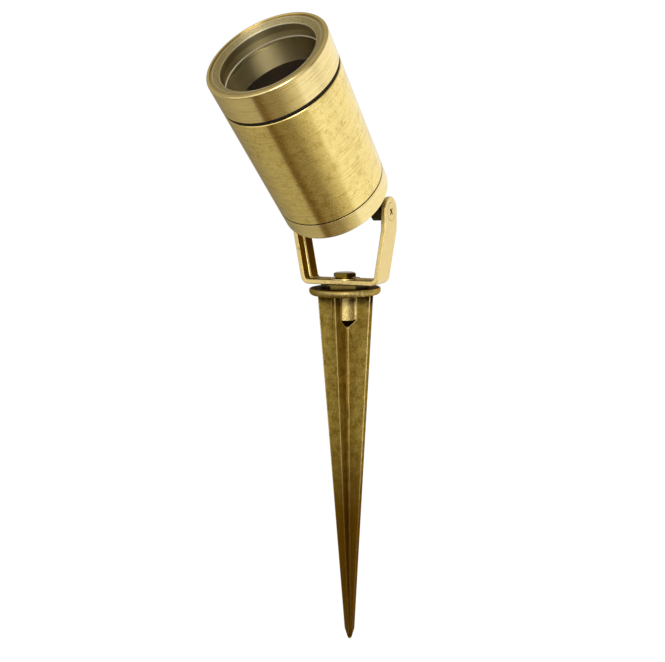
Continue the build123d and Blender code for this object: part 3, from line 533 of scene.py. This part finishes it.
def tumbled_cast_brass():
    """Cast and tumbled brass: pale and smooth outside, as cast and brown on the inner faces.

    The bead inside the legs is left pale among the brown, a painted highlight along it, and the
    narrow front faces keep a brown grain.
    """
    material, tree, where = new_material("tumbled_cast_brass")
    place = where["Object"]
    spot = add(tree, "ShaderNodeSeparateXYZ", {0: place}).outputs
    facing = add(tree, "ShaderNodeSeparateXYZ", {0: where["Normal"]}).outputs
    grain = add(tree, "ShaderNodeTexNoise", {"Vector": place, "Scale": per(1.2), "Detail": 5.0,
                                             "Roughness": 0.65})
    cloud = add(tree, "ShaderNodeTexNoise", {"Vector": place, "Scale": per(6), "Detail": 4.0,
                                             "Roughness": 0.6})
    tone = add(tree, "ShaderNodeMix", {MIX_FACTOR: cloud.outputs["Fac"], MIX_A: linear("#F6DE9B"),
                                       MIX_B: linear("#E6CB80")}, data_type="RGBA")
    # the narrow faces to front and back, between the rounded edges
    level_y = add(tree, "ShaderNodeMath", {0: facing["Y"]}, operation="ABSOLUTE")
    narrow = add(tree, "ShaderNodeMapRange", {"Value": level_y.outputs[0], "From Min": 0.93,
                                              "From Max": 0.99})
    worn_grain = add(tree, "ShaderNodeMapRange", {"Value": grain.outputs["Fac"], "From Min": 0.42,
                                                  "From Max": 0.62, "To Min": 0.0, "To Max": 0.28})
    grained = add(tree, "ShaderNodeMath", {0: narrow.outputs[0], 1: worn_grain.outputs[0]},
                  operation="MULTIPLY")
    fronts = add(tree, "ShaderNodeMix", {MIX_FACTOR: grained.outputs[0],
                                         MIX_A: tone.outputs[MIX_RESULT],
                                         MIX_B: linear("#A98B45")}, data_type="RGBA")
    # the half behind the bead is darker, most of all near the ears: painted shade on the half that
    # faces away from the light and up under the head
    behind_bead = add(tree, "ShaderNodeMapRange", {"Value": spot["Y"], "From Min": BEAD_BACK,
                                                   "From Max": BEHIND_BEAD})
    height = add(tree, "ShaderNodeMapRange", {"Value": spot["Z"], "From Min": PALE_HEIGHT,
                                              "From Max": DARK_HEIGHT})
    shaded = add(tree, "ShaderNodeMath", {0: behind_bead.outputs[0], 1: height.outputs[0]},
                 operation="MULTIPLY")
    patina_and_painted_shade = add(tree, "ShaderNodeMix", {MIX_FACTOR: shaded.outputs[0], MIX_A: linear("#64490F"),
                                         MIX_B: linear("#483410")}, data_type="RGBA")
    blotches = add(tree, "ShaderNodeMapRange", {"Value": cloud.outputs["Fac"], "From Min": 0.4,
                                                "From Max": 0.65, "To Min": 0.0, "To Max": 0.6})
    blotched = add(tree, "ShaderNodeMix", {MIX_FACTOR: blotches.outputs[0],
                                           MIX_A: patina_and_painted_shade.outputs[MIX_RESULT],
                                           MIX_B: linear("#4A350A")}, data_type="RGBA")
    as_cast = left_as_cast(tree, spot, facing, behind_bead.outputs[0])
    colour = add(tree, "ShaderNodeMix", {MIX_FACTOR: as_cast, MIX_A: fronts.outputs[MIX_RESULT],
                                         MIX_B: blotched.outputs[MIX_RESULT]}, data_type="RGBA")
    rough = add(tree, "ShaderNodeMapRange", {"Value": grain.outputs["Fac"], "From Min": 0.3,
                                             "From Max": 0.7, "To Min": 0.30, "To Max": 0.44})
    bump = add(tree, "ShaderNodeBump", {"Height": grain.outputs["Fac"], "Strength": 0.5,
                                        "Distance": 0.08 * MM})
    # the brown faces keep their colour at a flat angle too
    glance = add(tree, "ShaderNodeMix", {MIX_FACTOR: as_cast, MIX_A: (1, 1, 1, 1),
                                         MIX_B: linear("#A08A50")}, data_type="RGBA")
    surface(tree, {"Base Color": colour.outputs[MIX_RESULT], "Metallic": 1.0,
                   "Roughness": rough.outputs[0], "Specular Tint": glance.outputs[MIX_RESULT],
                   "Normal": bump.outputs[0]})
    return material


def boss_and_cone(tree, spot, radius):
    """Shares of the spike's boss, of the cone that ends it, and of the seam round both."""
    # how far outside the boss or its cone the spot is
    reach = add(tree, "ShaderNodeMapRange", {"Value": spot["Z"], "From Min": CONE_END,
                                             "From Max": BOSS_END, "To Min": CONE_RADIUS,
                                             "To Max": BOSS_RADIUS})
    past_boss = add(tree, "ShaderNodeMath", {0: radius, 1: reach.outputs[0]},
                    operation="SUBTRACT")
    within = add(tree, "ShaderNodeMath", {0: past_boss.outputs[0], 1: -WITHIN_SEAM},
                 operation="LESS_THAN")
    at_seam = add(tree, "ShaderNodeMath", {0: past_boss.outputs[0], 1: 0.0, 2: SEAM_LINE_HALF},
                  operation="COMPARE")
    above_cone_end = add(tree, "ShaderNodeMath", {0: spot["Z"], 1: CONE_END},
                         operation="GREATER_THAN")
    above_cone = add(tree, "ShaderNodeMath", {0: spot["Z"], 1: BOSS_END - BOSS_RIM},
                     operation="GREATER_THAN")
    cone_height = add(tree, "ShaderNodeMath", {0: above_cone_end.outputs[0],
                                               1: above_cone.outputs[0]}, operation="SUBTRACT")
    boss = add(tree, "ShaderNodeMath", {0: within.outputs[0], 1: above_cone.outputs[0]},
               operation="MULTIPLY")
    cone = add(tree, "ShaderNodeMath", {0: within.outputs[0], 1: cone_height.outputs[0]},
               operation="MULTIPLY")
    seam = add(tree, "ShaderNodeMath", {0: at_seam.outputs[0], 1: above_cone_end.outputs[0]},
               operation="MULTIPLY")
    return boss.outputs[0], cone.outputs[0], seam.outputs[0]


def worn_and_highlit_lines(tree, spot, radius, boss_seam):
    """Share of bright lines: wear along the edges of the wings, painted highlights in the valleys
    and along the boss's seam.
    """
    from_edges = []
    for axis, wings_half in (("X", WINGS_HALF_X), ("Y", WINGS_HALF_Y)):
        # half width of the wings at this height, then how far inside their edge the spot is
        half = add(tree, "ShaderNodeMapRange", {"Value": spot["Z"], "From Min": BLADE_POINT,
                                                "From Max": 0.0, "To Min": POINT_HALF,
                                                "To Max": wings_half})
        out = add(tree, "ShaderNodeMath", {0: spot[axis]}, operation="ABSOLUTE")
        inward = add(tree, "ShaderNodeMath", {0: half.outputs[0], 1: out.outputs[0]},
                     operation="SUBTRACT")
        from_edges.append(inward.outputs[0])
    from_edge = add(tree, "ShaderNodeMath", {0: from_edges[0], 1: from_edges[1]},
                    operation="MINIMUM")
    edges = add(tree, "ShaderNodeMath", {0: from_edge.outputs[0], 1: EDGE_LINE,
                                         2: EDGE_LINE_HALF}, operation="COMPARE")
    root = add(tree, "ShaderNodeMapRange", {"Value": spot["Z"], "From Min": BLADE_POINT,
                                            "From Max": 0.0, "To Min": POINT_ROOT,
                                            "To Max": TOP_ROOT})
    past_root = add(tree, "ShaderNodeMath", {0: radius, 1: root.outputs[0]},
                    operation="SUBTRACT")
    valleys = add(tree, "ShaderNodeMath", {0: past_root.outputs[0], 1: VALLEY_LINE,
                                           2: VALLEY_LINE_HALF}, operation="COMPARE")
    blade_lines = add(tree, "ShaderNodeMath", {0: edges.outputs[0], 1: valleys.outputs[0]},
                      operation="MAXIMUM")
    # painted highlight along the boss's seam, only on the lit +X side
    lit_side = add(tree, "ShaderNodeMapRange", {"Value": spot["X"], "From Min": UNLIT_SIDE,
                                               "From Max": LIT_SIDE})
    boss_line = add(tree, "ShaderNodeMath", {0: boss_seam, 1: lit_side.outputs[0]},
                    operation="MULTIPLY")
    lines = add(tree, "ShaderNodeMath", {0: blade_lines.outputs[0], 1: boss_line.outputs[0]},
                operation="MAXIMUM")
    return lines.outputs[0]


def flange_painted_shade(tree, spot, facing, cloud):
    """Share of painted shade: in the corner under the flange, in patches, and on top of the flange
    under the yoke.
    """
    near_corner = add(tree, "ShaderNodeMapRange", {"Value": spot["Z"], "From Min": SHADE_END,
                                                   "From Max": SHADE_START})
    below_flange = add(tree, "ShaderNodeMath", {0: spot["Z"], 1: FLANGE_UNDERSIDE},
                       operation="LESS_THAN")
    corner = add(tree, "ShaderNodeMath", {0: near_corner.outputs[0], 1: below_flange.outputs[0]},
                 operation="MULTIPLY")
    patchy = add(tree, "ShaderNodeMapRange", {"Value": cloud, "From Min": 0.35, "From Max": 0.6,
                                              "To Min": 0.7, "To Max": 1.0})
    corner_patches = add(tree, "ShaderNodeMath", {0: corner.outputs[0], 1: patchy.outputs[0]},
                         operation="MULTIPLY")
    over_middle = add(tree, "ShaderNodeMath", {0: spot["Z"], 1: FLANGE_MIDDLE},
                      operation="GREATER_THAN")
    upward = add(tree, "ShaderNodeMapRange", {"Value": facing["Z"], "From Min": 0.9,
                                              "From Max": 0.99, "To Max": 0.8})
    on_top = add(tree, "ShaderNodeMath", {0: over_middle.outputs[0], 1: upward.outputs[0]},
                 operation="MULTIPLY")
    flange_shade = add(tree, "ShaderNodeMath", {0: on_top.outputs[0], 1: corner_patches.outputs[0]},
                operation="MAXIMUM")
    return flange_shade.outputs[0]


def sand_cast_brass():
    """Sand cast brass left rough: grainy and brown, darkest at the tip.

    A polishing wheel touched its corners, so thin bright lines follow them; those in the valleys
    are painted highlights.
    Painted shade sits on and under the flange and on the cone below the boss.
    """
    material, tree, where = new_material("sand_cast_brass")
    place = where["Object"]
    spot = add(tree, "ShaderNodeSeparateXYZ", {0: place}).outputs
    facing = add(tree, "ShaderNodeSeparateXYZ", {0: where["Normal"]}).outputs
    radius = from_z_axis(tree, spot)
    boss, cone, boss_seam = boss_and_cone(tree, spot, radius)
    sand = add(tree, "ShaderNodeTexNoise", {"Vector": place, "Scale": per(0.8), "Detail": 5.0,
                                            "Roughness": 0.7})
    cloud = add(tree, "ShaderNodeTexNoise", {"Vector": place, "Scale": per(5), "Detail": 6.0,
                                             "Roughness": 0.7})
    clouds = add(tree, "ShaderNodeMapRange", {"Value": cloud.outputs["Fac"], "From Min": 0.38,
                                              "From Max": 0.62})
    tone = add(tree, "ShaderNodeMix", {MIX_FACTOR: clouds.outputs[0], MIX_A: linear("#BCA352"),
                                       MIX_B: linear("#8E742D")}, data_type="RGBA")
    # the boss and the flange are paler than the blade
    boss_share = add(tree, "ShaderNodeMath", {0: boss, 1: BOSS_PALENESS}, operation="MULTIPLY")
    on_flange = add(tree, "ShaderNodeMapRange", {"Value": spot["Z"], "From Min": 0.0,
                                                 "From Max": FLANGE_ROUND,
                                                 "To Max": FLANGE_PALENESS})
    pale = add(tree, "ShaderNodeMath", {0: boss_share.outputs[0], 1: on_flange.outputs[0]},
               operation="MAXIMUM")
    paler = add(tree, "ShaderNodeMix", {MIX_FACTOR: pale.outputs[0],
                                        MIX_A: tone.outputs[MIX_RESULT],
                                        MIX_B: linear("#FFE7A0")}, data_type="RGBA")
    pits = add(tree, "ShaderNodeMapRange", {"Value": sand.outputs["Fac"], "From Min": 0.38,
                                            "From Max": 0.62, "To Min": 0.6, "To Max": 0.0})
    pitted = add(tree, "ShaderNodeMix", {MIX_FACTOR: pits.outputs[0],
                                         MIX_A: paler.outputs[MIX_RESULT],
                                         MIX_B: linear("#624A12")}, data_type="RGBA")
    depth = add(tree, "ShaderNodeMapRange", {"Value": spot["Z"], "From Min": DARK_DEPTH,
                                             "From Max": PALE_DEPTH, "To Min": 0.95,
                                             "To Max": 0.0}, interpolation_type="SMOOTHSTEP")
    deeper = add(tree, "ShaderNodeMix", {MIX_FACTOR: depth.outputs[0],
                                         MIX_A: pitted.outputs[MIX_RESULT],
                                         MIX_B: linear("#6A4804")}, data_type="RGBA")
    # painted shade: under and on top of the flange, and on the cone's underside below the boss
    flange_shade = flange_painted_shade(tree, spot, facing, cloud.outputs["Fac"])
    painted_shade_share = add(tree, "ShaderNodeMath", {0: cone, 1: flange_shade}, operation="MAXIMUM")
    shade_painted = add(tree, "ShaderNodeMix", {MIX_FACTOR: painted_shade_share.outputs[0],
                                         MIX_A: deeper.outputs[MIX_RESULT],
                                         MIX_B: linear("#2C1A01")}, data_type="RGBA")
    # the bright lines are uneven and fade towards the tip
    uneven = add(tree, "ShaderNodeMapRange", {"Value": sand.outputs["Fac"], "From Min": 0.35,
                                              "From Max": 0.6, "To Min": 0.25, "To Max": 0.8})
    bright_share = add(tree, "ShaderNodeMath", {0: worn_and_highlit_lines(tree, spot, radius, boss_seam),
                                          1: uneven.outputs[0]}, operation="MULTIPLY")
    fading = add(tree, "ShaderNodeMapRange", {"Value": depth.outputs[0], "To Min": 1.0,
                                              "To Max": 0.1})
    shown_lines = add(tree, "ShaderNodeMath", {0: bright_share.outputs[0], 1: fading.outputs[0]},
                      operation="MULTIPLY")
    colour = add(tree, "ShaderNodeMix", {MIX_FACTOR: shown_lines.outputs[0],
                                         MIX_A: shade_painted.outputs[MIX_RESULT],
                                         MIX_B: linear("#F6DE9A")}, data_type="RGBA")
    bump = add(tree, "ShaderNodeBump", {"Height": sand.outputs["Fac"], "Strength": 0.8,
                                        "Distance": 0.2 * MM})
    rough = add(tree, "ShaderNodeMapRange", {"Value": pale.outputs[0], "From Max": FLANGE_PALENESS,
                                             "To Min": 0.5, "To Max": 0.38})
    # brown at a flat angle too, and nearly black where the shade is painted
    glance = add(tree, "ShaderNodeMix", {MIX_FACTOR: painted_shade_share.outputs[0], MIX_A: linear("#C8A456"),
                                         MIX_B: linear("#2A1E0C")}, data_type="RGBA")
    surface(tree, {"Base Color": colour.outputs[MIX_RESULT], "Metallic": 1.0,
                   "Roughness": rough.outputs[0], "Specular Tint": glance.outputs[MIX_RESULT],
                   "Normal": bump.outputs[0]})
    return material


def machined_brass(name, clean, tarnished):
    """Machined brass of screws and nuts, with fine tool marks and a tarnish in clouds."""
    material, tree, where = new_material(name)
    place = where["Object"]
    marks = add(tree, "ShaderNodeTexNoise", {"Vector": place, "Scale": per(0.6), "Detail": 4.0})
    _, colour = two_tones(tree, place, 3, 3.0, (clean, tarnished))
    bump = add(tree, "ShaderNodeBump", {"Height": marks.outputs["Fac"], "Strength": 0.3,
                                        "Distance": 0.03 * MM})
    surface(tree, {"Base Color": colour, "Metallic": 1.0, "Roughness": 0.28,
                   "Normal": bump.outputs[0]})
    return material


def silicone_rubber():
    """Moulded black silicone: matt, very fine grain."""
    material, tree, where = new_material("silicone_rubber")
    grain, colour = two_tones(tree, where["Object"], 0.5, 3.0, ("#120B07", "#1E150E"))
    bump = add(tree, "ShaderNodeBump", {"Height": grain, "Strength": 0.3, "Distance": 0.03 * MM})
    surface(tree, {"Base Color": colour, "Roughness": 0.6, "Specular IOR Level": 0.3,
                   "Normal": bump.outputs[0]})
    return material


def toughened_glass():
    """Clear toughened glass with a coating that keeps reflections low."""
    material, tree, where = new_material("toughened_glass")
    _, colour = two_tones(tree, where["Object"], 9, 2.0, ("#FFFFFF", "#F2F5F1"))
    surface(tree, {"Base Color": colour, "Roughness": 0.0, "IOR": 1.1,
                   "Transmission Weight": 1.0, "Specular IOR Level": 0.25})
    return material


def pale_silicone_highlight():
    """Pale silicone colour on the flat gasket, a painted highlight: it shows as a thin bright line
    in front of the glass.
    """
    material, tree, where = new_material("pale_silicone_highlight")
    _, colour = two_tones(tree, where["Object"], 2, 3.0, ("#F7EFD8", "#E2D6B4"))
    surface(tree, {"Base Color": colour, "Roughness": 0.3})
    return material


def smoked_lamp_face():
    """The lamp's pressed front, dark brown with small lighter dimples while the lamp is off."""
    material, tree, where = new_material("smoked_lamp_face")
    dimples = add(tree, "ShaderNodeTexVoronoi", {"Vector": where["Object"], "Scale": per(1.6),
                                                 "Randomness": 0.25})
    middles = add(tree, "ShaderNodeMapRange", {"Value": dimples.outputs["Distance"],
                                               "From Min": 0.1, "From Max": 0.3, "To Min": 1.0,
                                               "To Max": 0.0})
    colour = add(tree, "ShaderNodeMix", {MIX_FACTOR: middles.outputs[0],
                                         MIX_A: linear("#140702"), MIX_B: linear("#4A2B0A")},
                 data_type="RGBA")
    bump = add(tree, "ShaderNodeBump", {"Height": dimples.outputs["Distance"], "Strength": 0.4,
                                        "Distance": 0.2 * MM})
    surface(tree, {"Base Color": colour.outputs[MIX_RESULT], "Roughness": 0.6,
                   "Specular IOR Level": 0.03, "Normal": bump.outputs[0]})
    return material


def spun_aluminium():
    """Spun aluminium of the lamp's bowl and the holder plate: soft grey with a fine grain."""
    material, tree, where = new_material("spun_aluminium")
    grain, colour = two_tones(tree, where["Object"], 0.8, 4.0, ("#C9CACC", "#B4B6B8"))
    bump = add(tree, "ShaderNodeBump", {"Height": grain, "Strength": 0.2, "Distance": 0.03 * MM})
    surface(tree, {"Base Color": colour, "Metallic": 1.0, "Roughness": 0.38,
                   "Normal": bump.outputs[0]})
    return material


def zinc_plated_steel():
    """Zinc plated steel screws: cool, slightly cloudy plating."""
    material, tree, where = new_material("zinc_plated_steel")
    _, colour = two_tones(tree, where["Object"], 1.5, 3.0, ("#C4C8CC", "#A9AEB3"))
    surface(tree, {"Base Color": colour, "Metallic": 1.0, "Roughness": 0.33})
    return material


def glazed_ceramic():
    """Glazed ceramic of the lamp's foot and its holder: off-white with faint cloudiness."""
    material, tree, where = new_material("glazed_ceramic")
    _, colour = two_tones(tree, where["Object"], 4, 3.0, ("#EFEBDF", "#E1DCCD"))
    surface(tree, {"Base Color": colour, "Roughness": 0.22, "Coat Weight": 0.4})
    return material


def phosphor_face():
    """Yellow phosphor over the light-emitting chips, matt and grainy."""
    material, tree, where = new_material("phosphor_face")
    _, colour = two_tones(tree, where["Object"], 0.4, 3.0, ("#E8C93C", "#D6B22C"))
    surface(tree, {"Base Color": colour, "Roughness": 0.5})
    return material


def moulded_nylon():
    """Moulded nylon of the terminal block: milky, slightly waxy."""
    material, tree, where = new_material("moulded_nylon")
    _, colour = two_tones(tree, where["Object"], 1, 3.0, ("#F0F0EA", "#E3E3DA"))
    surface(tree, {"Base Color": colour, "Roughness": 0.42})
    return material


def silicone_sleeve():
    """Red silicone sleeve of the two lamp leads."""
    material, tree, where = new_material("silicone_sleeve")
    _, colour = two_tones(tree, where["Object"], 0.6, 2.0, ("#B3241C", "#9A1D17"))
    surface(tree, {"Base Color": colour, "Roughness": 0.55})
    return material


# what makes each finish, and the nodes that have it
FINISHES = [
    (lambda: brushed_brass("brushed_brass", clean="#FFE9A6", stained="#F0D58C", wear=0.35,
                           bore="#AD9D70"), ["bezel", "rear_cap"]),
    (lambda: brushed_brass("handled_brass", clean="#FFE796", stained="#D6B45C", wear=0.9,
                           bore="#B3A173"), ["head_body"]),
    (tumbled_cast_brass, ["yoke"]),
    (sand_cast_brass, ["spike"]),
    (lambda: machined_brass("machined_brass", "#F0D992", "#DCC175"),
     ["pivot_screws", "gland_body", "gland_nut", "gland_locknut", "terminal_screws",
      "terminal_fixing_screw", "lamp_pins"]),
    # the dark brass of the bolt and its washer is painted shade in the gap under the yoke
    (lambda: machined_brass("brass_darkened_for_shade", "#7C621F", "#5E4816"),
     ["swivel_bolt", "swivel_lock_washer"]),
    # the spacer's dark brass is painted shade in the gap between the yoke and the flange
    (lambda: machined_brass("spacer_brass_painted_shade", "#5A4A22", "#3C2F14"), ["swivel_spacer"]),
    (silicone_rubber, ["front_o_ring", "rear_o_ring", "gland_seal", "pivot_washers"]),
    (pale_silicone_highlight, ["lens_gasket"]),
    (toughened_glass, ["lens_glass"]),
    (smoked_lamp_face, ["lamp_lens"]),
    (spun_aluminium, ["lamp_reflector", "holder_plate"]),
    (zinc_plated_steel, ["holder_screws"]),
    (glazed_ceramic, ["lamp_holder", "lamp_base"]),
    (phosphor_face, ["lamp_led"]),
    (moulded_nylon, ["terminal_block"]),
    (silicone_sleeve, ["holder_leads"]),
]


def dress_nodes():
    """Give every CAD node its finish."""
    for make, names in FINISHES:
        material = make()
        for name in names:
            mesh = frame["nodes"][name].data
            mesh.materials.clear()
            mesh.materials.append(material)


place_camera()
light_world()
lay_floor()
hang_lamp()
dress_nodes()
bpy.context.scene.view_settings.view_transform = "Standard"
